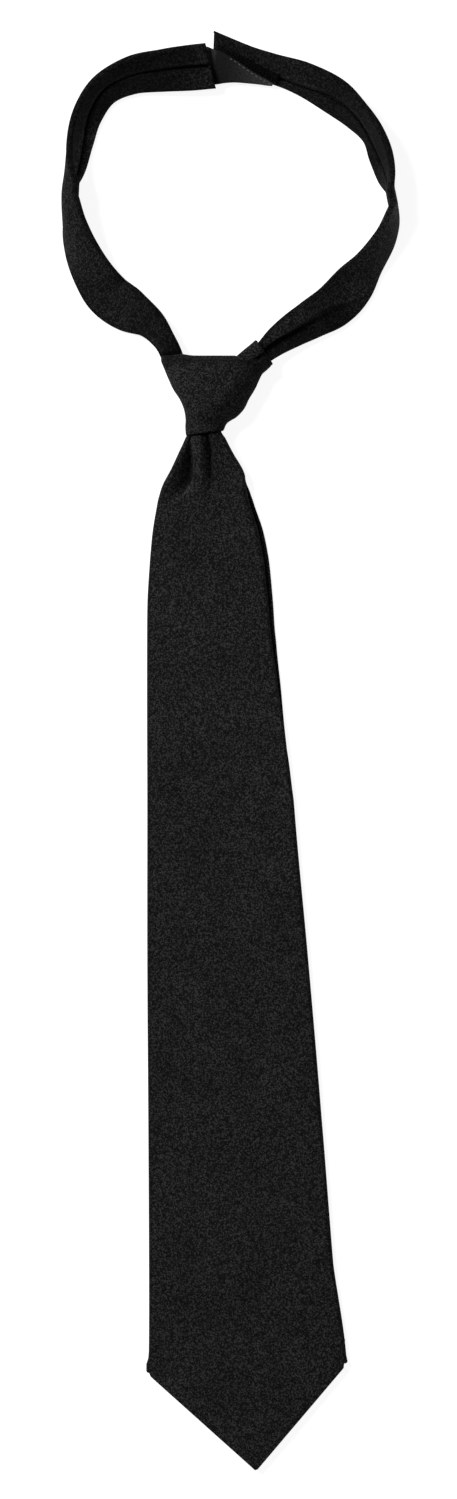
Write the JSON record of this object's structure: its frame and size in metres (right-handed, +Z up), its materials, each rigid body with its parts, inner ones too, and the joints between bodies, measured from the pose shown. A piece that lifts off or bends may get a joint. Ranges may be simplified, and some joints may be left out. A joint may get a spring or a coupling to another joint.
{
  "type": "hook-and-loop necktie",
  "caption": "Ready-tied necktie with a hollow wrapped knot, a pointed folded blade and a neckband loop that closes at the back with hook-and-loop tape.",
  "frame": {"origin": "middle of the tie's outline on the surface that it lies on", "axes": "+Z up out of the surface, +Y from the blade's tip towards the back of the neck, +X to the right of a viewer who looks down with the tip at the bottom"},
  "size_m": [0.1384, 0.5876, 0.019],
  "materials": {
    "black_cloth": "black woven polyester with a fine speckled weave, matt with a faint sheen",
    "black_hooks": "black nylon hook tape, rough and dark",
    "grey_tape": "dark grey woven back of nylon loop tape, smooth and slightly shiny"
  },
  "bodies": {
    "root": {"blade": "black_cloth", "knot": "black_cloth", "neckband_left": "black_cloth", "neckband_right": "black_cloth", "hook_tape": "black_hooks", "loop_tape": "grey_tape"}
  },
  "joints": []
}
